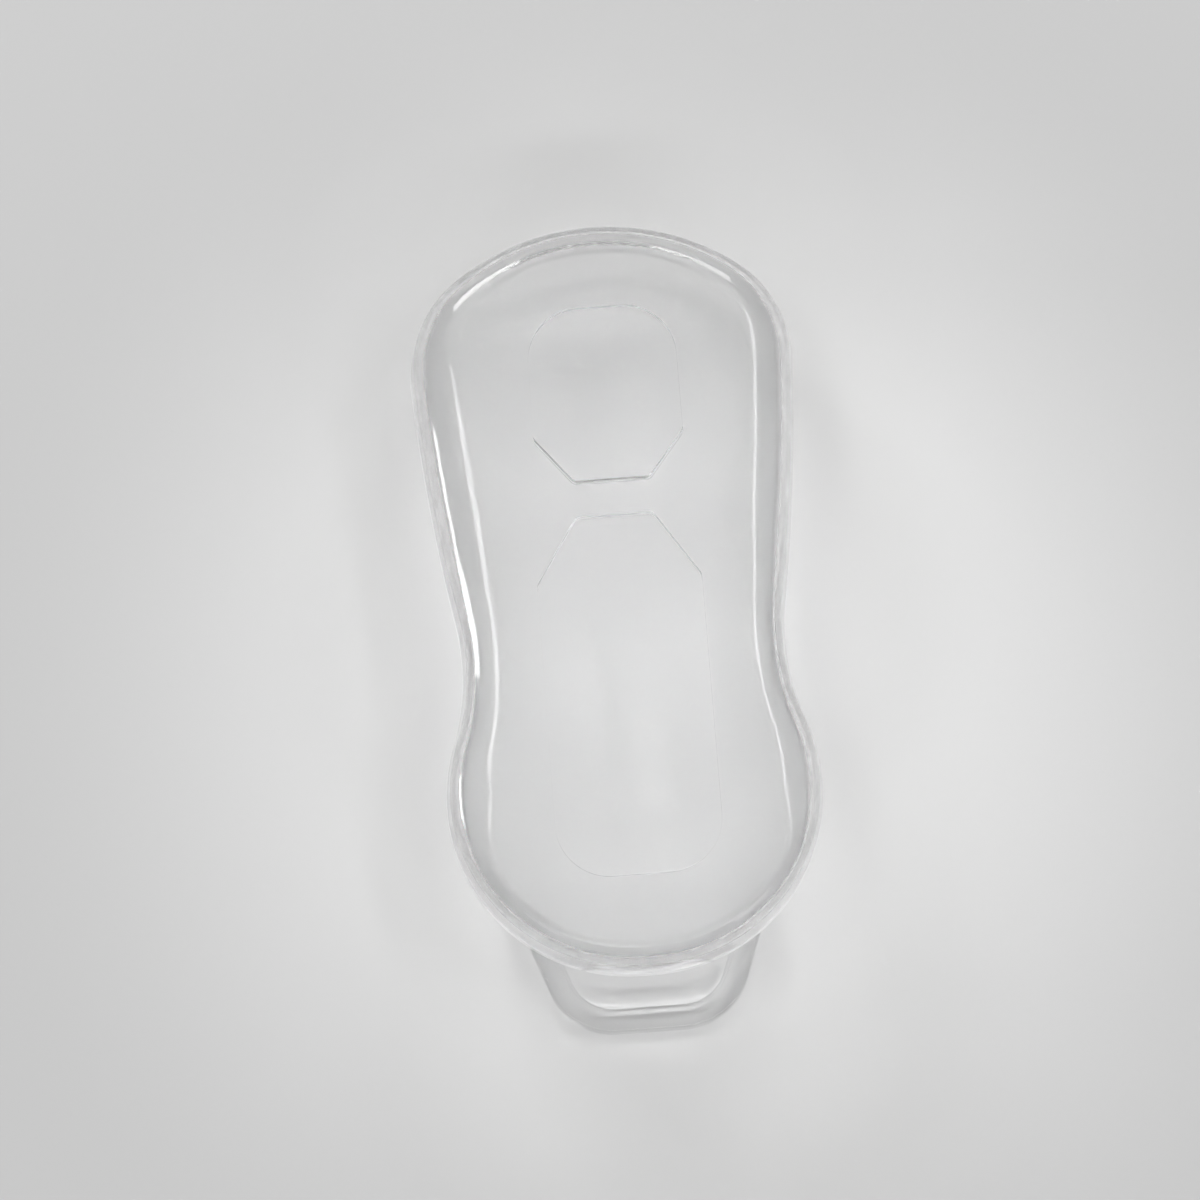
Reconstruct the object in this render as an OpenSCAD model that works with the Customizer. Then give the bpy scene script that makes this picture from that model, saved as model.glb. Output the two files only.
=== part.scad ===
// Clear snap-together cover for a car key fob: a rear shell with the key-ring loop and a front
// shell that close round the key, and two soft press pads set in windows of the face panel.
// X is the width, Y runs from the loop to the far end, Z is up with the back on the table.

/* [Body] */
// Length of the closed body without the loop
body_l = 86; // [80:0.5:96]
// Height of the closed body, back to face panel
body_h = 17; // [15.5:0.5:22]
// Height of the seam between the two shells
seam_z = 8; // [7:0.5:9]
// Thickness of both shells
wall = 1.2; // [0.9:0.1:1.5]

/* [Outline] */
// Width across the far lobe
far_w = 44.4; // [42:0.1:48]
// Width across the near lobe
near_w = 42.6; // [40.5:0.1:45.5]
// How much narrower the waist is than the near lobe
waist_in = 5.6; // [3.5:0.1:8]
// Radius of the far end
far_end_r = 28; // [25:1:36]
// Radius of the far corners
far_lobe_r = 13.5; // [12:0.5:15]
// Radius of the long flanks
flank_r = 230; // [150:10:400]
// Radius of the hollow waist
waist_r = 26; // [22:1:36]
// How far beside the middle line the centre of each side of the near lobe lies
near_lobe_out = 0.9; // [0.5:0.1:3]
// Radius of the near end
near_end_r = 33; // [28:1:40]

/* [Section] */
// Width of the sloping shoulder at the near end, outline to face panel
near_shoulder = 2.8; // [2.4:0.1:4]
// Width of the sloping shoulder at the near corners
corner_shoulder = 2.8; // [2.4:0.1:4]
// Width of the sloping shoulder on the near lobe
lobe_shoulder = 4.9; // [3.5:0.1:5.5]
// Width of the sloping shoulder at the waist
waist_shoulder = 3.4; // [2.8:0.1:4.5]
// Width of the sloping shoulder on the flanks
flank_shoulder = 4.6; // [3.5:0.1:5.5]
// Width of the sloping shoulder at the far end
far_shoulder = 3.6; // [2.8:0.1:4.5]
// Drop from the face panel to the outer edge of the shoulder
shoulder_drop = 2.6; // [1.8:0.1:3.2]
// Lean of the upper side wall, seam to shoulder
upper_lean = 0.8; // [0.4:0.1:1.2]
// Lean of the lower side wall, seam to back
lower_lean = 1.5; // [0.8:0.1:1.8]
// Radius of the shoulder's outer edge
crown_r = 1.7; // [1.4:0.1:2.2]
// Radius round the face panel
rim_r = 1.8; // [1:0.1:2.2]
// Radius of the edge round the back
base_r = 2.2; // [1.6:0.1:3]

/* [Snap lip] */
// Height of the rear shell's lip above the seam
lip_h = 1.6; // [1:0.1:2.2]
// Thickness of the lip
lip_t = 0.6; // [0.5:0.1:0.9]
// Clearance all round where the two shells meet
shell_fit = 0.05; // [0.03:0.01:0.1]

/* [Key-ring loop] */
// How far the loop reaches beyond the body
loop_reach = 6; // [5.5:0.1:9]
// Width between the loop's outer sides, carried down to its end
loop_end_w = 18.8; // [16:0.2:22]
// How much each side of the loop spreads from its end to the body
loop_spread = 2.2; // [1:0.1:3]
// Radius of the loop's outer corners
loop_corner_r = 8; // [5:0.5:8]
// Width of the bar round the slot
bar_w = 2.8; // [2.2:0.1:3.2]
// Thickness of the loop
loop_t = 3; // [2:0.1:4]
// Radius of the bar's four edges
bar_edge_r = 0.6; // [0.3:0.1:0.9]
// How far the loop's arms run in under the body
loop_root = 7; // [5.5:0.5:9]

/* [Press pads] */
// Bare strip of face panel between the two pads
pad_bridge = 4.3; // [3:0.1:6]
// Distance from the far end of the body to the middle of that strip
pad_bridge_y = 33.2; // [31:0.1:35]
// Width of both pads where they face each other
pad_end_w = 8.4; // [7:0.1:10]
// Width of the upper pad
upper_pad_w = 16.8; // [14:0.1:19]
// Length of the upper pad
upper_pad_l = 20; // [16:0.5:21]
// Length of the upper pad's slanted corners
upper_slant = 5.2; // [4:0.1:7]
// Width of the lower pad
lower_pad_w = 18.4; // [16:0.1:20]
// Length of the lower pad
lower_pad_l = 40; // [34:0.5:42]
// Length of the lower pad's slanted corners
lower_slant = 7.6; // [5:0.1:9]
// Radius of the pads' outer corners
pad_corner_r = 6; // [3:0.5:7]
// Radius of the corners on the slanted ends
slant_corner_r = 1; // [0.5:0.1:1.5]
// How far a pad's slanted end stands above the face panel, sloping down to flush
pad_rise = 0.3; // [0.2:0.1:0.6]
// Bevel round the pads' top edge
pad_bevel = 0.25; // [0.1:0.05:0.4]
// Clearance round each pad in its window
pad_fit = 0.08; // [0.05:0.01:0.12]
// Width of the flange that holds a pad under the panel
pad_flange = 0.9; // [0.6:0.1:1.2]
// Thickness of that flange
pad_flange_t = 0.6; // [0.4:0.1:1]

/* [Hidden] */

arc_step = 7;
corner_steps = 4;
overrun = 1;
near_y = loop_reach - (body_l + loop_reach) / 2;
far_y = near_y + body_l;

function direction(from, to) = atan2(to[1] - from[1], to[0] - from[0]);
function unit(v) = v / norm(v);
function left_of(v) = [-v[1], v[0]];
function on_circle(c, r, a) = c + r * [cos(a), sin(a)];
function mix(a, b, t) = a + (b - a) * t * t * (3 - 2 * t);

// Where two circles cross, on the left of the way from the first centre to the second
function crossing(c1, r1, c2, r2) =
    let (d = norm(c2 - c1), u = (c2 - c1) / d)
    let (a = (d * d + r1 * r1 - r2 * r2) / (2 * d))
    c1 + a * u + sqrt(r1 * r1 - a * a) * left_of(u);

// Where the lines p and q cross
function meet(p, q) =
    let (r = p[1] - p[0], s = q[1] - q[0], w = q[0] - p[0])
    p[0] + r * (w[0] * s[1] - w[1] * s[0]) / (r[0] * s[1] - r[1] * s[0]);

// The line a-b moved d to its left
function beside(a, b, d) = [a + d * left_of(unit(b - a)), b + d * left_of(unit(b - a))];

// The point of a line at height z
function at_height(line, z) =
    line[0] + (line[1] - line[0]) * (z - line[0][1]) / (line[1][1] - line[0][1]);

// Corner b of the path a-b-c rounded to radius r, as short edges
function rounded(a, b, c, r, steps = corner_steps) =
    let (u = unit(a - b), v = unit(c - b), half = acos(u * v) / 2)
    let (centre = b + unit(u + v) * r / sin(half))
    let (from = b + u * r / tan(half), to = b + v * r / tan(half))
    let (turn = direction(centre, to) - direction(centre, from))
    let (sweep = turn > 180 ? turn - 360 : turn < -180 ? turn + 360 : turn)
    [for (i = [0:steps]) on_circle(centre, r, direction(centre, from) + sweep * i / steps)];

// Centres of the tangent arcs down the right-hand side of the body
near_end_c = [0, near_y + near_end_r];
near_lobe_r = near_w / 2 - near_lobe_out;
near_lobe_c = [near_lobe_out,
    near_end_c[1] - sqrt(pow(near_end_r - near_lobe_r, 2) - pow(near_lobe_out, 2))];
far_end_c = [0, far_y - far_end_r];
far_lobe_x = far_w / 2 - far_lobe_r;
far_lobe_c = [far_lobe_x,
    far_end_c[1] + sqrt(pow(far_end_r - far_lobe_r, 2) - pow(far_lobe_x, 2))];
waist_x = (near_w - waist_in) / 2 + waist_r;
waist_c = [waist_x,
    near_lobe_c[1] + sqrt(pow(near_lobe_r + waist_r, 2) - pow(waist_x - near_lobe_out, 2))];
flank_c = crossing(waist_c, waist_r + flank_r, far_lobe_c, flank_r - far_lobe_r);

// Where one arc hands over to the next, as a direction from a centre
near_turn = direction(near_end_c, near_lobe_c);
waist_turn = direction(near_lobe_c, waist_c);
flank_turn = direction(flank_c, waist_c);
lobe_turn = direction(flank_c, far_lobe_c);
far_turn = direction(far_end_c, far_lobe_c);

// Each arc: centre, radius, first and last direction, side (1 bulges out, -1 hollows in)
ARCS = [
    [near_end_c, near_end_r, -90, near_turn, 1],
    [near_lobe_c, near_lobe_r, near_turn, waist_turn, 1],
    [waist_c, waist_r, waist_turn + 180, flank_turn + 180, -1],
    [flank_c, flank_r, flank_turn, lobe_turn, 1],
    [far_lobe_c, far_lobe_r, lobe_turn, far_turn, 1],
    [far_end_c, far_end_r, far_turn, 90, 1]
];

// Stations round the body, each a place on the outline and the way out from it there
function arc_stations(arc) =
    let (steps = max(3, ceil(abs(arc[3] - arc[2]) / arc_step)))
    [for (i = [0:steps - 1])
        let (a = arc[2] + (arc[3] - arc[2]) * i / steps)
        [on_circle(arc[0], arc[1], a), arc[4] * [cos(a), sin(a)]]];
RIGHT = concat([for (arc = ARCS) each arc_stations(arc)], [[[0, far_y], [0, 1]]]);
half_turns = len(RIGHT) - 1;
function mirrored(station) = [[-station[0][0], station[0][1]], [-station[1][0], station[1][1]]];
STATIONS = concat(RIGHT, [for (i = [1:half_turns - 1]) mirrored(RIGHT[half_turns - i])]);
turns = len(STATIONS);
function outline(n) = [for (s = STATIONS) s[0] + n * s[1]];

// Width of the shoulder at y, blended from one named place to the next
function shoulder_at(y) =
    let (corner_y = (near_y + near_lobe_c[1]) / 2, flank_y = (waist_c[1] + far_lobe_c[1]) / 2)
    let (places = [near_y, corner_y, near_lobe_c[1], waist_c[1], flank_y, far_lobe_c[1], far_y])
    let (widths = [near_shoulder, corner_shoulder, lobe_shoulder, waist_shoulder,
        flank_shoulder, flank_shoulder, far_shoulder])
    let (k = [for (i = [0:len(places) - 2]) if (y >= places[i] - overrun) i])
    let (i = k[len(k) - 1])
    mix(widths[i], widths[i + 1], min(1, max(0, (y - places[i]) / (places[i + 1] - places[i]))));

// Section of the front shell at a station, as distance out from the outline and height,
// from the ceiling down inside to the seam and up outside to the face panel
upper_seam = [0, seam_z + shell_fit];
crown = [-upper_lean, body_h - shoulder_drop];
upper_side_in = beside(upper_seam, crown, wall);
function front_section(shoulder) =
    let (rim = [-shoulder, body_h], hub = [-shoulder - overrun, body_h])
    let (band_in = beside(crown, rim, wall), top_in = beside(rim, hub, wall))
    let (rim_in = meet(band_in, top_in), crown_in = meet(upper_side_in, band_in))
    let (foot_in = at_height(upper_side_in, upper_seam[1]))
    concat(rounded(top_in[1], rim_in, crown_in, max(rim_r - wall, wall / 4), 2),
        rounded(rim_in, crown_in, foot_in, max(crown_r - wall, wall / 4), 2),
        [foot_in, upper_seam],
        rounded(upper_seam, crown, rim, crown_r), rounded(crown, rim, hub, rim_r));

// Section of the rear shell, from the back up outside to the seam, over the lip and down inside
lower_seam = [0, seam_z];
heel = [-lower_lean, 0];
sole = [-near_shoulder - base_r, 0];
lower_side_in = beside(lower_seam, heel, -wall);
lip_side = beside(upper_seam, crown, wall + shell_fit);
lip_foot = at_height(lip_side, seam_z);
lip_top = at_height(lip_side, seam_z + lip_h);
lip_root_z = seam_z - lip_h;
heel_in = meet(lower_side_in, [[0, wall], [-overrun, wall]]);
rear_section = concat(
    rounded(sole, heel, lower_seam, base_r),
    [lower_seam, lip_foot, lip_top, lip_top - [lip_t, 0], [lip_foot[0] - lip_t, seam_z],
        [lip_foot[0] - lip_t, lip_root_z]],
    [at_height(lower_side_in, lip_root_z - lip_t)],
    rounded(lower_seam, heel_in, heel_in - [overrun, 0], max(base_r - wall, wall / 2)));

// A closed shell: one section at each station, its first and last rings closed by flat plates
// laid across from the right-hand side to the left
module lofted(sections) {
    rings = len(sections[0]);
    points = [for (j = [0:rings - 1]) for (i = [0:turns - 1])
        let (s = STATIONS[i], p = s[0] + sections[i][j][0] * s[1])
        [p[0], p[1], sections[i][j][1]]];
    sides = [for (j = [0:rings - 2]) for (i = [0:turns - 1])
        let (a = j * turns + i, b = j * turns + (i + 1) % turns)
        each [[a, a + turns, b + turns], [a, b + turns, b]]];
    rungs = [for (i = [0:half_turns - 1])
        let (c = (turns - i - 1) % turns, d = (turns - i) % turns)
        each concat(i < half_turns - 1 ? [[i, i + 1, c]] : [[i, i + 1, d]],
            i > 0 && i < half_turns - 1 ? [[i, c, d]] : [])];
    last = (rings - 1) * turns;
    lid = [for (t = rungs) [t[0] + last, t[2] + last, t[1] + last]];
    polyhedron(points, concat(sides, rungs, lid));
}

// Outline of a press pad, its slanted end at y0 and its round end pad_l further on in the
// direction way, grown outwards by n
function pad_corners(y0, way, pad_w, pad_l, slant) = [
    [pad_end_w / 2, y0],
    [pad_w / 2, y0 + way * slant],
    [pad_w / 2, y0 + way * pad_l]];
function pad_outline(y0, way, pad_w, pad_l, slant, n) =
    let (c = pad_corners(y0, way, pad_w, pad_l, slant))
    let (end = beside([0, y0], c[0], -way * n), slope = beside(c[0], c[1], -way * n))
    let (side = beside(c[1], c[2], -way * n), far = beside(c[2], [0, c[2][1]], -way * n))
    let (p = meet(end, slope), q = meet(slope, side), r = meet(side, far))
    let (right = concat(rounded(end[0], p, q, slant_corner_r), rounded(p, q, r, slant_corner_r),
        rounded(q, r, far[1], pad_corner_r)))
    concat(right, [for (i = [1:len(right)])
        [-right[len(right) - i][0], right[len(right) - i][1]]]);

bridge_y = far_y - pad_bridge_y;
upper_end_y = bridge_y + pad_bridge / 2;
lower_end_y = bridge_y - pad_bridge / 2;
function upper_outline(n) =
    pad_outline(upper_end_y, 1, upper_pad_w, upper_pad_l, upper_slant, n);
function lower_outline(n) =
    pad_outline(lower_end_y, -1, lower_pad_w, lower_pad_l, lower_slant, n);

// Rings of points, each joined to the next; the first and last are the solid's flat ends
module ringed(rings) {
    count = len(rings[0]);
    last = (len(rings) - 1) * count;
    sides = [for (j = [0:len(rings) - 2]) for (i = [0:count - 1])
        let (a = j * count + i, b = j * count + (i + 1) % count)
        each [[a, a + count, b + count], [a, b + count, b]]];
    ends = [for (i = [1:count - 2]) each [[0, i, i + 1], [last, last + i + 1, last + i]]];
    polyhedron([for (ring = rings) each ring], concat(sides, ends));
}

function level(outline_points, z) = [for (p = outline_points) [p[0], p[1], z]];

// A press pad: a flange under the panel, a plug through the window, and a top that slopes
// from pad_rise at the slanted end y0 to flush with the panel at the round end
module press_pad(flange_outline, plug_outline, top_outline, y0, pad_l) {
    flange_z = body_h - wall - pad_fit / 2;
    function top_z(y) = body_h + pad_rise * (1 - abs(y - y0) / pad_l);
    // An outline's points run towards the slanted end on one pad and away from it on the other
    rings = [
        level(flange_outline, flange_z - pad_flange_t),
        level(flange_outline, flange_z),
        level(plug_outline, flange_z),
        [for (p = plug_outline) [p[0], p[1], top_z(p[1]) - pad_bevel]],
        [for (p = top_outline) [p[0], p[1], top_z(p[1])]]
    ];
    ringed(y0 > bridge_y ? rings : [for (ring = rings) [for (i = [1:len(ring)]) ring[len(ring) - i]]]);
}

// The loop's path n inside its outer edge, from one root round the end to the other
function loop_path(n) =
    let (end_y = near_y - loop_reach, root_y = near_y + loop_root)
    let (corner = [loop_end_w / 2, end_y], root = corner + [loop_spread, loop_reach])
    let (end = beside([0, end_y], corner, n), side = beside(corner, root, n))
    let (p = meet(end, side), q = at_height(side, root_y))
    let (right = concat(rounded(end[0], p, q, loop_corner_r - n, 2 * corner_steps), [q]))
    concat([for (i = [1:len(right)]) [-right[len(right) - i][0], right[len(right) - i][1]]], right);

// Section of the loop's bar, as distance in from the outer edge and height
function bar_section() =
    let (a = [0, 0], b = [bar_w, 0], c = [bar_w, loop_t], d = [0, loop_t])
    concat(rounded(a, b, c, bar_edge_r, 2), rounded(b, c, d, bar_edge_r, 2),
        rounded(c, d, a, bar_edge_r, 2), rounded(d, a, b, bar_edge_r, 2));

// Rounded bar bent into the key-ring loop, its arms ending inside the rear shell's wall
module key_ring_loop() {
    section = bar_section();
    paths = [for (p = section) level(loop_path(p[0]), p[1])];
    difference() {
        ringed([for (i = [0:len(paths[0]) - 1]) [for (path = paths) path[i]]]);
        translate([0, 0, wall / 2])
            linear_extrude(loop_t) polygon(outline(-lower_lean - wall / 2));
    }
}

module rear_shell() {
    color("whitesmoke") {
        lofted([for (s = STATIONS) rear_section]);
        key_ring_loop();
    }
}

module front_shell() {
    color("gainsboro") difference() {
        lofted([for (s = STATIONS) front_section(shoulder_at(s[0][1]))]);
        translate([0, 0, body_h - wall - overrun])
            linear_extrude(wall + 2 * overrun) polygon(upper_outline(pad_fit));
        translate([0, 0, body_h - wall - overrun])
            linear_extrude(wall + 2 * overrun) polygon(lower_outline(pad_fit));
    }
}

module upper_pad() {
    color("lightsteelblue") press_pad(upper_outline(pad_flange), upper_outline(0),
        upper_outline(-pad_bevel), upper_end_y, upper_pad_l);
}

module lower_pad() {
    color("lightsteelblue") press_pad(lower_outline(pad_flange), lower_outline(0),
        lower_outline(-pad_bevel), lower_end_y, lower_pad_l);
}

rear_shell();
front_shell();
upper_pad();
lower_pad();
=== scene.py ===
import math

import bpy
from mathutils import Matrix, Vector


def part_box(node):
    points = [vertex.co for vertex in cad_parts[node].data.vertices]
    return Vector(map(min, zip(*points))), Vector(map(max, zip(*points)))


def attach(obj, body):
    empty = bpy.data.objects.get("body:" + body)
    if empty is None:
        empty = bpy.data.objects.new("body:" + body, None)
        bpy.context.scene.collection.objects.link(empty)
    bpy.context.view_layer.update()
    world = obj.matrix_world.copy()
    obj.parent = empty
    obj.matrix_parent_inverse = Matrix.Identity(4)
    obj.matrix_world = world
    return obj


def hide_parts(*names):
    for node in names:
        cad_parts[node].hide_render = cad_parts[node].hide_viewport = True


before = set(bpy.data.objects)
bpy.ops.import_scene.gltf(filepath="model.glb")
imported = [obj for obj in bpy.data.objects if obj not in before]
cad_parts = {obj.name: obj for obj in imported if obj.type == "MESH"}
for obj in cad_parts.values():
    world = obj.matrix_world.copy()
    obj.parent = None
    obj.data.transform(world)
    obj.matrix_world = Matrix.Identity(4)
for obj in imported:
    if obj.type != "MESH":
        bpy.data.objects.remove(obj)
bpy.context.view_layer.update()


# Rear shell: the clear hard tray that the fob lies in, moulded in one piece with its snap lip
# and the key-ring loop. Its wall follows one outline of tangent arcs round the body.
MM = 0.001

front_low, front_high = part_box("front_shell")
rear_low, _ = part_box("rear_shell")
near_y, far_y = front_low.y, front_high.y
face_z = front_high.z
shell_fit = 0.05 * MM
seam_z = front_low.z - shell_fit
wall = 1.2 * MM

far_w = front_high.x - front_low.x
near_w = 42.6 * MM
waist_in = 5.6 * MM
near_lobe_out = 0.9 * MM
near_end_r, near_lobe_r, waist_r = 33 * MM, near_w / 2 - near_lobe_out, 26 * MM
flank_r, far_lobe_r, far_end_r = 230 * MM, 13.5 * MM, 28 * MM

lower_lean, upper_lean = 1.5 * MM, 0.8 * MM
base_r = 2.2 * MM
lip_h, lip_t = 1.6 * MM, 0.6 * MM
lip_tip_r = 0.15 * MM
flat_edge = 0.3 * MM
station_gap = 0.7 * MM
fillet_steps, lip_steps = 10, 3
merge_gap = shell_fit / 10
most_points = 1000


def direction(start, end):
    return math.atan2(end.y - start.y, end.x - start.x)


def round_outline():
    """The right-hand half of the body's outline, from the near end to the far end: for each
    arc its centre, radius, first direction, turn, and 1 where it bulges out or -1 at the waist."""
    near_end = Vector((0, near_y + near_end_r))
    drop = math.sqrt((near_end_r - near_lobe_r) ** 2 - near_lobe_out**2)
    near_lobe = Vector((near_lobe_out, near_end.y - drop))
    far_end = Vector((0, far_y - far_end_r))
    corner_x = far_w / 2 - far_lobe_r
    far_lobe = Vector(
        (corner_x, far_end.y + math.sqrt((far_end_r - far_lobe_r) ** 2 - corner_x**2))
    )
    waist_x = (near_w - waist_in) / 2 + waist_r
    rise = math.sqrt((near_lobe_r + waist_r) ** 2 - (waist_x - near_lobe_out) ** 2)
    waist = Vector((waist_x, near_lobe.y + rise))
    reach, back = waist_r + flank_r, flank_r - far_lobe_r
    gap = far_lobe - waist
    along = (gap.length**2 + reach**2 - back**2) / (2 * gap.length)
    aside = Vector((-gap.y, gap.x)).normalized() * math.sqrt(reach**2 - along**2)
    flank = waist + gap.normalized() * along + aside
    turns = [
        -math.pi / 2,
        direction(near_end, near_lobe),
        direction(near_lobe, waist),
        direction(flank, waist),
        direction(flank, far_lobe),
        direction(far_end, far_lobe),
        math.pi / 2,
    ]
    return [
        (near_end, near_end_r, turns[0], turns[1] - turns[0], 1),
        (near_lobe, near_lobe_r, turns[1], turns[2] - turns[1], 1),
        (waist, waist_r, turns[2] + math.pi, turns[3] - turns[2], -1),
        (flank, flank_r, turns[3], turns[4] - turns[3], 1),
        (far_lobe, far_lobe_r, turns[4], turns[5] - turns[4], 1),
        (far_end, far_end_r, turns[5], turns[6] - turns[5], 1),
    ]


outline_arcs = round_outline()


def meet(a, b, c, d):
    """Where the line a-b crosses the line c-d."""
    r, s, w = b - a, d - c, c - a
    return a + r * (w.x * s.y - w.y * s.x) / (r.x * s.y - r.y * s.x)


def beside(a, b, distance):
    """The line a-b moved to its left."""
    left = Vector((a.y - b.y, b.x - a.x)).normalized() * distance
    return a + left, b + left


def rounded(a, b, c, radius, steps=fillet_steps):
    """The corner b of the path a-b-c, rounded."""
    u, v = (a - b).normalized(), (c - b).normalized()
    half = u.angle(v) / 2
    centre = b + (u + v).normalized() * radius / math.sin(half)
    first = b + u * radius / math.tan(half) - centre
    turn = first.angle_signed(b + v * radius / math.tan(half) - centre)
    return [
        centre + Matrix.Rotation(-turn * i / steps, 2) @ first for i in range(steps + 1)
    ]


def draw(name, points):
    """A chain of edges drawn from point to point. Each vertex keeps the number of its point as
    its weight in a group, as a share of the most points that a chain may have."""
    bpy.ops.object.select_all(action="DESELECT")
    bpy.ops.mesh.primitive_plane_add(size=MM, location=points[0])
    piece = bpy.context.object
    piece.name = piece.data.name = name
    bpy.ops.object.transform_apply(location=True, rotation=True, scale=True)
    bpy.ops.object.mode_set(mode="EDIT")
    bpy.ops.mesh.select_all(action="SELECT")
    bpy.ops.mesh.merge(type="CENTER")
    for a, b in zip(points, points[1:]):
        bpy.ops.mesh.extrude_vertices_move(TRANSFORM_OT_translate={"value": b - a})
    bpy.ops.object.mode_set(mode="OBJECT")
    group = piece.vertex_groups.new(name="point number")
    for vertex in piece.data.vertices:
        reach = [(point - vertex.co).length for point in points]
        group.add([vertex.index], reach.index(min(reach)) / most_points, "REPLACE")
    bpy.ops.object.mode_set(mode="EDIT")
    return piece


def point_number(vertex):
    return round(vertex.groups[0].weight * most_points)


def carry_round(piece):
    """Spins the drawn section round each arc in turn and mirrors the half that this makes."""
    bpy.ops.mesh.select_all(action="SELECT")
    for centre, radius, _, turn, _ in outline_arcs:
        steps = max(4, round(abs(turn) * radius / station_gap))
        bpy.ops.mesh.spin(
            steps=steps, angle=-turn, center=(centre.x, centre.y, 0), axis=(0, 0, 1)
        )
    bpy.ops.object.mode_set(mode="OBJECT")
    half = piece.modifiers.new("left half", "MIRROR")
    half.merge_threshold = merge_gap
    bpy.ops.object.modifier_apply(modifier=half.name)
    bpy.ops.object.mode_set(mode="EDIT")
    bpy.ops.mesh.select_all(action="SELECT")


def close_ends(piece):
    """Lays a flat plate over each open ring and points every face outwards."""
    bpy.ops.mesh.fill_holes(sides=0)
    bpy.ops.mesh.select_all(action="SELECT")
    bpy.ops.mesh.normals_make_consistent(inside=False)
    bpy.ops.object.mode_set(mode="OBJECT")


def cut(piece, tool, operation):
    """Joins a closed tool to the piece, or cuts it away, and removes the tool."""
    step = piece.modifiers.new(operation.lower(), "BOOLEAN")
    step.operation = operation
    step.object = tool
    step.solver = "EXACT"
    bpy.ops.object.select_all(action="DESELECT")
    piece.select_set(True)
    bpy.context.view_layer.objects.active = piece
    bpy.ops.object.modifier_apply(modifier=step.name)
    bpy.data.objects.remove(tool)


def section_points(section):
    """A section of distances out from the outline and heights, stood up at the near end."""
    return [Vector((0, near_y - p.x, p.y)) for p in section]


seam = Vector((0, seam_z))
heel = Vector((-lower_lean, 0))
sole = Vector((-lower_lean - 2 * base_r, 0))
inner_side = beside(seam, heel, -wall)
floor_line = Vector((0, wall)), Vector((-MM, wall))
heel_in = meet(*inner_side, *floor_line)


def side_at(line, z):
    """Where a wall's line reaches a height."""
    return line[0] + (line[1] - line[0]) * (z - line[0].y) / (line[1].y - line[0].y)


crown_drop = 2.6 * MM
crown = Vector((-upper_lean, face_z - crown_drop))
lip_line = beside(Vector((0, seam_z + shell_fit)), crown, wall + shell_fit)
lip_foot, lip_top = side_at(lip_line, seam_z), side_at(lip_line, seam_z + lip_h)
lip_back = Vector((lip_foot.x - lip_t, seam_z))
lip_shelf = Vector((lip_back.x, seam_z - lip_h))
rear_section = (
    [sole - Vector((flat_edge, 0)), sole]
    + rounded(sole, heel, seam, base_r)
    + [seam, lip_foot]
    + rounded(lip_foot, lip_top, lip_top - Vector((lip_t, 0)), lip_tip_r, lip_steps)
    + rounded(lip_top, lip_top - Vector((lip_t, 0)), lip_back, lip_tip_r, lip_steps)
    + [lip_back, lip_shelf, side_at(inner_side, lip_shelf.y - lip_t)]
    + rounded(seam, heel_in, heel_in - Vector((MM, 0)), base_r - wall)
    + [Vector((sole.x, wall)), Vector((sole.x - flat_edge, wall))]
)
rear = draw("clear_rear_shell", section_points(rear_section))
carry_round(rear)
close_ends(rear)


def mark_inside(piece, first, last):
    """Marks the faces between two point numbers of the section as inside faces."""
    inside = piece.data.attributes.new("inside", "FLOAT", "FACE")
    for face in piece.data.polygons:
        numbers = [point_number(piece.data.vertices[i]) for i in face.vertices]
        inside.data[face.index].value = first <= min(numbers) and max(numbers) <= last


mark_inside(rear, rear_section.index(seam), len(rear_section))

# The loop is a rounded bar bent into a D, whose arms run into the wall and the back.
loop_t, bar_w, bar_edge_r = 3 * MM, 2.8 * MM, 0.6 * MM
loop_end_w, loop_spread, loop_corner_r, loop_root = 18.8 * MM, 2.2 * MM, 8 * MM, 7 * MM
loop_end_y = rear_low.y
bar_steps, bend_steps = 6, 24


def draw_outline(name, inset, z):
    """A flat sheet inside the outline, with its edge at the given inset."""
    sheet = draw(name, [Vector((0, near_y + inset, z))])
    carry_round(sheet)
    bpy.ops.mesh.edge_face_add()
    return sheet


def bar_corners():
    """The bar's rounded section, as a closed path."""
    plan = [(0, 0), (bar_w, 0), (bar_w, loop_t), (0, loop_t)]
    a, b, c, d = [Vector(corner) for corner in plan]
    edges = (
        rounded(a, b, c, bar_edge_r, bar_steps)
        + rounded(b, c, d, bar_edge_r, bar_steps)
        + rounded(c, d, a, bar_edge_r, bar_steps)
        + rounded(d, a, b, bar_edge_r, bar_steps)
    )
    return edges + edges[:1]


arm_turn = math.atan2(near_y - loop_end_y, loop_spread)
bend_x = loop_end_w / 2 - loop_corner_r * math.tan(arm_turn / 2)
bar = draw("loop_bar", [Vector((0, loop_end_y + p.x, p.y)) for p in bar_corners()])
bpy.ops.mesh.select_all(action="SELECT")
bpy.ops.mesh.remove_doubles(threshold=merge_gap)
bpy.ops.mesh.extrude_region_move(TRANSFORM_OT_translate={"value": (bend_x, 0, 0)})
bpy.ops.mesh.spin(
    steps=bend_steps,
    angle=-arm_turn,
    center=(bend_x, loop_end_y + loop_corner_r, 0),
    axis=(0, 0, 1),
)
arm_length = (near_y + loop_root - loop_end_y) / math.sin(arm_turn)
arm = (arm_length * math.cos(arm_turn), arm_length * math.sin(arm_turn), 0)
bpy.ops.mesh.extrude_region_move(TRANSFORM_OT_translate={"value": arm})
bpy.ops.object.mode_set(mode="OBJECT")
other = bar.modifiers.new("left half", "MIRROR")
other.merge_threshold = merge_gap
bpy.ops.object.modifier_apply(modifier=other.name)
bpy.ops.object.mode_set(mode="EDIT")
bpy.ops.mesh.select_all(action="SELECT")
close_ends(bar)

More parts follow.
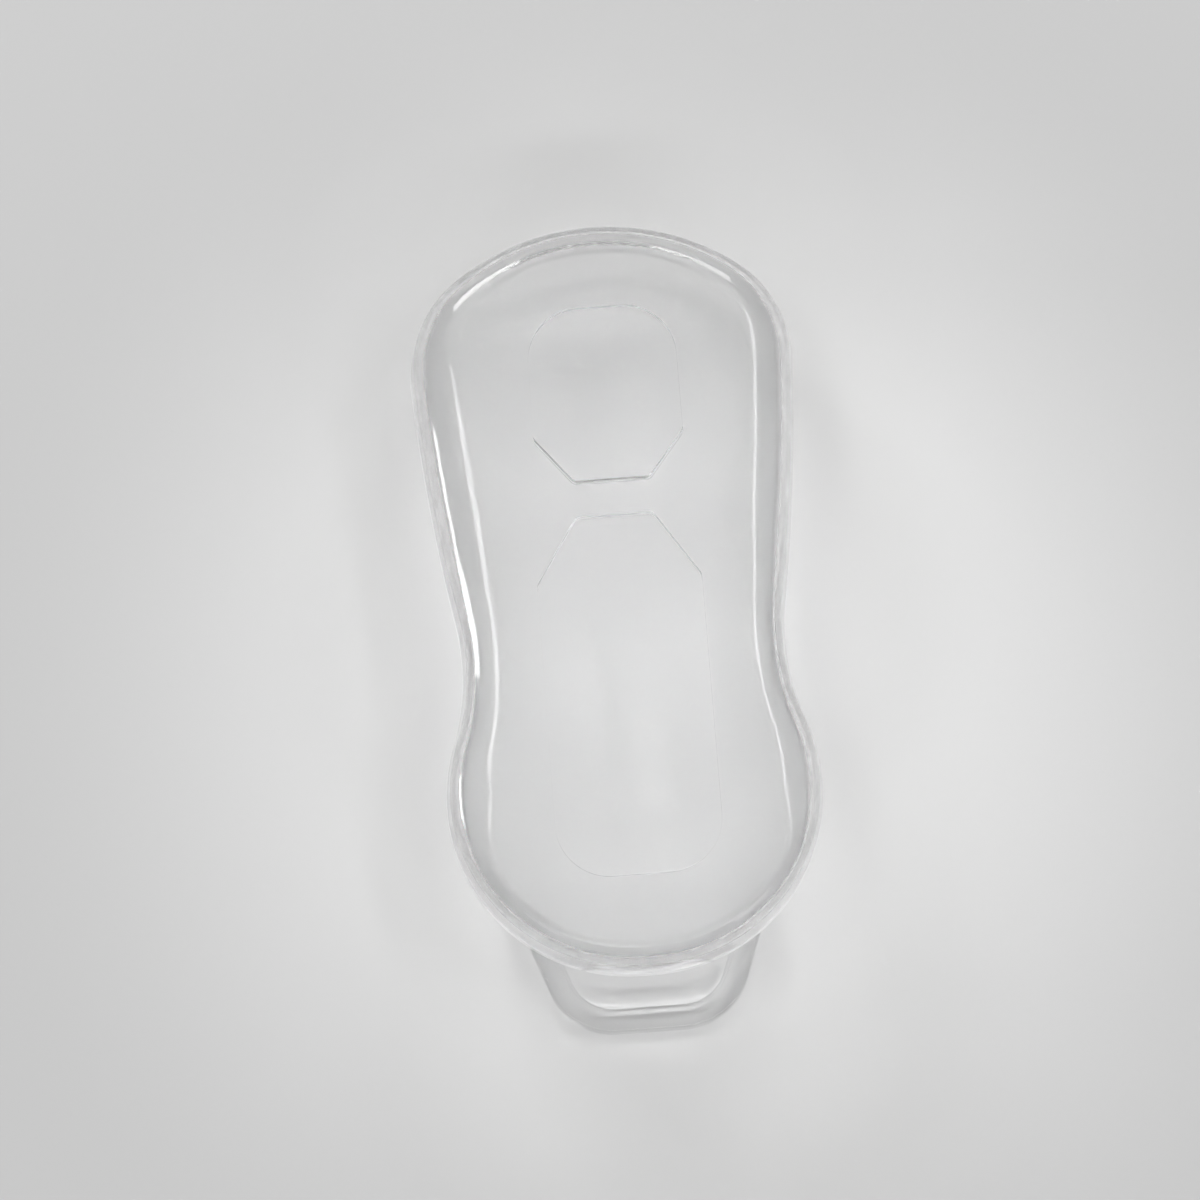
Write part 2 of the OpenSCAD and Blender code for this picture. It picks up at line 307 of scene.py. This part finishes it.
hollow = draw_outline("hollow", lower_lean + wall / 2, wall / 2)
bpy.ops.mesh.extrude_region_move(TRANSFORM_OT_translate={"value": (0, 0, 2 * loop_t)})
bpy.ops.mesh.select_all(action="SELECT")
bpy.ops.mesh.normals_make_consistent(inside=False)
bpy.ops.object.mode_set(mode="OBJECT")
cut(bar, hollow, "DIFFERENCE")
cut(rear, bar, "UNION")


def smooth(piece, degrees):
    """Shades curved stretches smooth and keeps corners sharper than the angle crisp."""
    bpy.ops.object.select_all(action="DESELECT")
    piece.select_set(True)
    bpy.context.view_layer.objects.active = piece
    bpy.ops.object.shade_smooth_by_angle(angle=math.radians(degrees))


shell_angle = 25
smooth(rear, shell_angle)


clear_ior = 1.45
satin, polish, soft_polish = 0.35, 0.06, 0.05
shell_wave, shell_wave_size = 0.02 * MM, 9 * MM
rear_grey = 0.037 / MM


def clear_plastic(name, roughness, waviness, wave_size, inner_grey):
    """Clear moulding: a little unevenness left by the mould on its faces, a satin finish on the
    faces marked as inside, and a faint grey that shows only where light runs a long way through
    a wall."""
    material = bpy.data.materials.new(name)
    material.use_nodes = True
    nodes, links = material.node_tree.nodes, material.node_tree.links
    shader = nodes["Principled BSDF"]
    shader.inputs["Base Color"].default_value = (1, 1, 1, 1)
    shader.inputs["Transmission Weight"].default_value = 1
    shader.inputs["IOR"].default_value = clear_ior
    inside = nodes.new("ShaderNodeAttribute")
    inside.attribute_name = "inside"
    finish = nodes.new("ShaderNodeMapRange")
    finish.inputs["To Min"].default_value = roughness
    finish.inputs["To Max"].default_value = satin
    links.new(inside.outputs["Fac"], finish.inputs["Value"])
    links.new(finish.outputs["Result"], shader.inputs["Roughness"])
    place = nodes.new("ShaderNodeTexCoord")
    wave = nodes.new("ShaderNodeTexNoise")
    wave.inputs["Scale"].default_value = 1 / wave_size
    wave.inputs["Detail"].default_value = 2
    links.new(place.outputs["Object"], wave.inputs["Vector"])
    bump = nodes.new("ShaderNodeBump")
    bump.inputs["Strength"].default_value = 0.3
    bump.inputs["Distance"].default_value = waviness
    links.new(wave.outputs["Fac"], bump.inputs["Height"])
    links.new(bump.outputs["Normal"], shader.inputs["Normal"])
    depth_of_clear = nodes.new("ShaderNodeVolumeAbsorption")
    depth_of_clear.inputs["Color"].default_value = (0, 0, 0, 1)
    depth_of_clear.inputs["Density"].default_value = inner_grey
    links.new(depth_of_clear.outputs["Volume"], nodes["Material Output"].inputs["Volume"])
    return material


rear_plastic = clear_plastic(
    "rear clear plastic", polish, shell_wave, shell_wave_size, rear_grey
)
rear.data.materials.append(rear_plastic)
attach(rear, "rear")
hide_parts("rear_shell")


# Front shell: the matching clear lid, with a flat face panel inside a rounded shoulder. It is
# moulded in one piece, and its wall slips down over the rear shell's lip.
# Each form is the shoulder's width, its drop, and its roundness above the wall and at the rim.
near_form = 2.8 * MM, 1.7 * MM, 2.2 * MM, 2.4 * MM
corner_form = 2.8 * MM, 1.9 * MM, 2.4 * MM, 2.4 * MM
lobe_form = 4.9 * MM, 2.4 * MM, 3.5 * MM, 5.5 * MM
waist_form = 3.4 * MM, 2.2 * MM, 2.5 * MM, 5 * MM
flank_form = 4.6 * MM, 2.6 * MM, 4.5 * MM, 6 * MM
far_form = 3.6 * MM, 2.6 * MM, 3 * MM, 2.8 * MM
upper_seam = Vector((0, seam_z + shell_fit))
rim_run = 2.2 * MM


def front_section(shoulder, drop, crown_r, rim_r):
    """The front shell's section, from the ceiling down inside, then up outside to the face, for
    one width and drop of the shoulder and one roundness above the wall and at the rim."""
    bend = side_at((upper_seam, crown), face_z - drop)
    rim = Vector((-shoulder, face_z))
    hub = rim - Vector((rim_run, 0))
    upper_side, band_in = beside(upper_seam, bend, wall), beside(bend, rim, wall)
    ceiling = beside(rim, hub, wall)
    rim_in, bend_in = meet(*band_in, *ceiling), meet(*upper_side, *band_in)
    foot_in = side_at(upper_side, upper_seam.y)
    return (
        [ceiling[1] - Vector((flat_edge, 0)), ceiling[1]]
        + rounded(ceiling[1], rim_in, bend_in, rim_r - wall)
        + rounded(rim_in, bend_in, foot_in, crown_r - wall)
        + [foot_in, upper_seam]
        + rounded(upper_seam, bend, rim, crown_r)
        + rounded(bend, rim, hub, rim_r)
        + [hub, hub - Vector((flat_edge, 0))]
    )


drawn_section = front_section(*flank_form)
front = draw("clear_front_shell", section_points(drawn_section))
carry_round(front)
close_ends(front)


def blend(a, b, t):
    """Passes from a to b with a soft start and end."""
    t = min(1, max(0, t))
    return a + (b - a) * t * t * (3 - 2 * t)


def form_at(y):
    """The shoulder's width, drop and two radii at a place on the outline."""
    lobe_y, waist_y, corner_y = [outline_arcs[i][0].y for i in (1, 2, 4)]
    steps = [
        (near_y, near_form),
        ((near_y + lobe_y) / 2, corner_form),
        (lobe_y, lobe_form),
        (waist_y, waist_form),
        ((waist_y + corner_y) / 2, flank_form),
        (corner_y, flank_form),
        (far_y, far_form),
    ]
    k = max([i for i in range(6) if y >= steps[i][0]] or [0])
    (start, first), (end, second) = steps[k : k + 2]
    return [blend(a, b, (y - start) / (end - start)) for a, b in zip(first, second)]


angle_slack, deepest = 1e-4, 10 * MM


def way_out(x, y):
    """The outward way from the outline at a point inside it, and the y of that place."""
    p = Vector((abs(x), y))
    for centre, radius, start, turn, side in outline_arcs:
        spoke = p - centre
        angle = direction(centre, p)
        low, high = sorted((start, start + turn))
        while angle < low - angle_slack:
            angle += 2 * math.pi
        depth = abs(spoke.length - radius)
        if angle <= high + angle_slack and depth < deepest:
            out = spoke.normalized() * side
            return Vector((math.copysign(out.x, x) if x else 0, out.y, 0)), (
                centre.y + radius * math.sin(angle)
            )
    raise ValueError("a point lies off the outline")


for vertex in front.data.vertices:
    point = point_number(vertex)
    out, y = way_out(vertex.co.x, vertex.co.y)
    place = front_section(*form_at(y))[point]
    vertex.co += out * (place.x - drawn_section[point].x)
    vertex.co.z = place.y

mark_inside(front, 0, drawn_section.index(upper_seam))

# The panel's two windows take the press pads with a hair of clearance, wider at the slanted ends.
pad_fit, slant_gap = 0.003 * MM, 0.25 * MM
pad_end_w, pad_corner_r, slant_corner_r = 8.4 * MM, 6 * MM, 1 * MM
pad_rise, pad_bevel = 0.3 * MM, 0.15 * MM
pad_flange = 0.9 * MM
upper_slant, lower_slant = 5.2 * MM, 7.6 * MM
pad_sizes = {}
for node, way, slant in (("upper_pad", 1, upper_slant), ("lower_pad", -1, lower_slant)):
    low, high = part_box(node)
    start, end = (low.y, high.y) if way > 0 else (high.y, low.y)
    pad_sizes[node] = {
        "slanted_y": start + way * pad_flange,
        "round_y": end - way * pad_flange,
        "width": high.x - low.x - 2 * pad_flange,
        "slant": slant,
        "way": way,
    }


def pad_outline(node, grow, end_gap, z):
    """Corner points of a pad's outline, from its slanted end round to where it began, grown by
    one gap along the slanted end and by another elsewhere."""
    pad = pad_sizes[node]
    way, half_w = pad["way"], pad["width"] / 2
    a = Vector((pad_end_w / 2, pad["slanted_y"]))
    b = Vector((half_w, pad["slanted_y"] + way * pad["slant"]))
    c = Vector((half_w, pad["round_y"]))
    end = beside(Vector((0, a.y)), a, -way * end_gap)
    slope, side = beside(a, b, -way * end_gap), beside(b, c, -way * grow)
    far = beside(c, Vector((0, c.y)), -way * grow)
    p, q, r = meet(*end, *slope), meet(*slope, *side), meet(*side, *far)
    right = (
        rounded(end[0], p, q, slant_corner_r + grow)
        + rounded(p, q, r, slant_corner_r + grow)
        + rounded(q, r, far[1], pad_corner_r + grow, 2 * fillet_steps)
    )
    left = [Vector((-corner.x, corner.y)) for corner in reversed(right)]
    return [Vector((corner.x, corner.y, z)) for corner in right + left + right[:1]]


def plate(name, points):
    """A flat face with the drawn outline."""
    piece = draw(name, points)
    bpy.ops.mesh.select_all(action="SELECT")
    bpy.ops.mesh.remove_doubles(threshold=merge_gap)
    bpy.ops.mesh.edge_face_add()
    return piece


for node in pad_sizes:
    window = plate("window", pad_outline(node, pad_fit, slant_gap, face_z - 2 * wall))
    bpy.ops.mesh.extrude_region_move(TRANSFORM_OT_translate={"value": (0, 0, 3 * wall)})
    bpy.ops.mesh.select_all(action="SELECT")
    bpy.ops.mesh.normals_make_consistent(inside=False)
    bpy.ops.object.mode_set(mode="OBJECT")
    cut(front, window, "DIFFERENCE")
smooth(front, shell_angle)
front_grey = 0.003 / MM
polished_plastic = clear_plastic(
    "polished clear plastic", polish, shell_wave, shell_wave_size, front_grey
)
front.data.materials.append(polished_plastic)
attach(front, "front")
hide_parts("front_shell")


# Press pads: soft clear inserts moulded into the windows. The slanted ends that face each
# other stand a little proud, and the tops slope down to flush at the round ends.
pad_wave, pad_wave_size = 0.03 * MM, 5 * MM
pad_grey = 0.002 / MM
pad_plastic = clear_plastic(
    "clear soft plastic", soft_polish, pad_wave, pad_wave_size, pad_grey
)
pad_bodies = {"upper_pad": "upper_press", "lower_pad": "lower_press"}
bevel_steps, crisp_angle = 5, 40
for node, body in pad_bodies.items():
    pad = plate("clear_" + node, pad_outline(node, 0, 0, face_z - wall))
    bpy.ops.mesh.extrude_region_move(TRANSFORM_OT_translate={"value": (0, 0, wall)})
    bpy.ops.mesh.select_all(action="SELECT")
    bpy.ops.mesh.normals_make_consistent(inside=False)
    bpy.ops.mesh.select_mode(type="EDGE")
    bpy.ops.mesh.select_all(action="DESELECT")
    bpy.ops.object.mode_set(mode="OBJECT")
    sizes = pad_sizes[node]
    length = abs(sizes["round_y"] - sizes["slanted_y"])
    for edge in pad.data.edges:
        ends = [pad.data.vertices[i].co for i in edge.vertices]
        edge.select = all(
            co.z > face_z - wall / 2 and abs(co.y - sizes["slanted_y"]) < sizes["slant"]
            for co in ends
        )
    bpy.ops.object.mode_set(mode="EDIT")
    bpy.ops.mesh.bevel(offset=pad_bevel, segments=bevel_steps, affect="EDGES")
    bpy.ops.mesh.select_mode(type="VERT")
    bpy.ops.object.mode_set(mode="OBJECT")
    for vertex in pad.data.vertices:
        if vertex.co.z > face_z - wall / 2:
            along = abs(vertex.co.y - sizes["slanted_y"])
            vertex.co.z += pad_rise * (1 - along / length)
    smooth(pad, crisp_angle)
    pad.data.materials.append(pad_plastic)
    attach(pad, body)
    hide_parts(node)


# Floor: the seamless pale sweep that the cover lies on, with a trace of air under the back. Its
# colour holds a painted pool of light, centred a little off the cover: palest round it, then
# falling off as painted shade to a light grey further out.
air_gap = 0.02 * MM
sweep_size = 3
# The painted pool of light: where it is centred, how far it reaches, and the painted shade grey
# outside it and the painted light grey at its middle.
painted_light_centre, painted_light_radius = (8 * MM, -7 * MM, 0), 90 * MM
painted_shade_grey, painted_light_grey = 0.50, 0.735
bpy.ops.object.select_all(action="DESELECT")
bpy.ops.mesh.primitive_plane_add(size=sweep_size, location=(0, 0, -air_gap))
table = bpy.context.object
table.name = "seamless_floor"
floor_paint = bpy.data.materials.new("pale grey sweep with painted light pool")
floor_paint.use_nodes = True
floor_shader = floor_paint.node_tree.nodes["Principled BSDF"]
floor_nodes, floor_links = floor_paint.node_tree.nodes, floor_paint.node_tree.links
floor_place = floor_nodes.new("ShaderNodeMapping")
floor_place.vector_type = "TEXTURE"
floor_place.inputs["Location"].default_value = painted_light_centre
floor_place.inputs["Scale"].default_value = [painted_light_radius] * 3
floor_links.new(
    floor_nodes.new("ShaderNodeTexCoord").outputs["Object"], floor_place.inputs["Vector"]
)
# Painted light: a radial falloff from the pool's lit middle out to the painted shade.
painted_light_falloff = floor_nodes.new("ShaderNodeTexGradient")
painted_light_falloff.gradient_type = "SPHERICAL"
floor_links.new(floor_place.outputs["Vector"], painted_light_falloff.inputs["Vector"])
painted_light_tones = floor_nodes.new("ShaderNodeValToRGB")
painted_light_tones.color_ramp.interpolation = "EASE"
painted_light_tones.color_ramp.elements[0].color = (painted_shade_grey, painted_shade_grey, painted_shade_grey, 1)
painted_light_tones.color_ramp.elements[1].color = (painted_light_grey, painted_light_grey, painted_light_grey, 1)
floor_links.new(painted_light_falloff.outputs["Fac"], painted_light_tones.inputs["Fac"])
floor_links.new(painted_light_tones.outputs["Color"], floor_shader.inputs["Base Color"])
floor_shader.inputs["Roughness"].default_value = 0.9
floor_shader.inputs["Specular IOR Level"].default_value = 0.2
table.data.materials.append(floor_paint)


# Light: a pale room, brighter overhead than at the horizon, and eight soft lamps: a box towards
# each corner of the cover, strips along its near end and both sides, and one high at the left.
# Light passes many clear faces before it reaches the camera, so its paths are let run long.
horizon, zenith, zenith_power = 0.05, 1.08, 2.4
path_bounces = 64
box_distance = 0.6
world = bpy.data.worlds.new("pale room")
world.use_nodes = True
bpy.context.scene.world = world
room, room_links = world.node_tree.nodes, world.node_tree.links
way_up = room.new("ShaderNodeSeparateXYZ")
room_links.new(room.new("ShaderNodeTexCoord").outputs["Generated"], way_up.inputs["Vector"])
overhead = room.new("ShaderNodeMath")
overhead.operation = "POWER"
overhead.use_clamp = True
overhead.inputs[1].default_value = zenith_power
room_links.new(way_up.outputs["Z"], overhead.inputs[0])
brightness = room.new("ShaderNodeMapRange")
brightness.inputs["To Min"].default_value = horizon
brightness.inputs["To Max"].default_value = zenith
room_links.new(overhead.outputs["Value"], brightness.inputs["Value"])
room_links.new(brightness.outputs["Result"], room["Background"].inputs["Strength"])
room["Background"].inputs["Color"].default_value = (1, 1, 1, 1)
light_paths = bpy.context.scene.cycles
light_paths.blur_glossy = 0
light_paths.max_bounces = path_bounces
light_paths.transmission_bounces = path_bounces
light_paths.glossy_bounces = path_bounces


def soft_box(name, azimuth, elevation, width, height, radiance):
    """A lamp that faces the cover from a compass direction and a height angle."""
    lamp = bpy.data.lights.new(name, "AREA")
    lamp.shape = "RECTANGLE"
    lamp.size, lamp.size_y = width, height
    lamp.energy = radiance * math.pi * width * height
    obj = bpy.data.objects.new(name, lamp)
    bpy.context.scene.collection.objects.link(obj)
    a, e = math.radians(azimuth), math.radians(elevation)
    way = Vector((math.cos(e) * math.cos(a), math.cos(e) * math.sin(a), math.sin(e)))
    obj.location = way * box_distance
    obj.rotation_euler = way.to_track_quat("Z", "Y").to_euler()


soft_box("far_left_box", 118, 24, 0.25, 0.18, 10.5)
soft_box("far_right_box", 66, 24, 0.21, 0.16, 7.5)
soft_box("near_left_box", -128, 30, 0.15, 0.12, 5.5)
soft_box("near_right_box", -48, 30, 0.15, 0.12, 5.5)
soft_box("near_strip", -88, 46, 0.60, 0.06, 6.6)
soft_box("right_strip", 14, 54, 0.36, 0.065, 7)
soft_box("left_strip", 173, 12, 0.08, 0.09, 16)
soft_box("left_high_box", 157, 62, 0.10, 0.10, 7)


# Camera: almost straight above, leaning from the loop's end, with a moderate long lens.
image_px, focal_px = 1200, 3000
sensor_mm = 36
elevation, turn = math.radians(80), math.radians(-4.35)
camera_distance = 341.3 * MM
aim = Vector((-2.25, 2.70, 9.14)) * MM
back = Vector(
    (
        math.sin(turn) * math.cos(elevation),
        -math.cos(turn) * math.cos(elevation),
        math.sin(elevation),
    )
)
right = Vector((math.cos(turn), math.sin(turn), 0))
up = back.cross(right)
camera_data = bpy.data.cameras.new("camera")
camera_data.sensor_width = sensor_mm
camera_data.lens = sensor_mm * focal_px / image_px
camera_data.clip_start = 0.01
camera = bpy.data.objects.new("camera", camera_data)
bpy.context.scene.collection.objects.link(camera)
camera.matrix_world = Matrix.Translation(aim + back * camera_distance) @ (
    Matrix((right, up, back)).transposed().to_4x4()
)
bpy.context.scene.camera = camera

bpy.context.scene.view_settings.view_transform = "Standard"
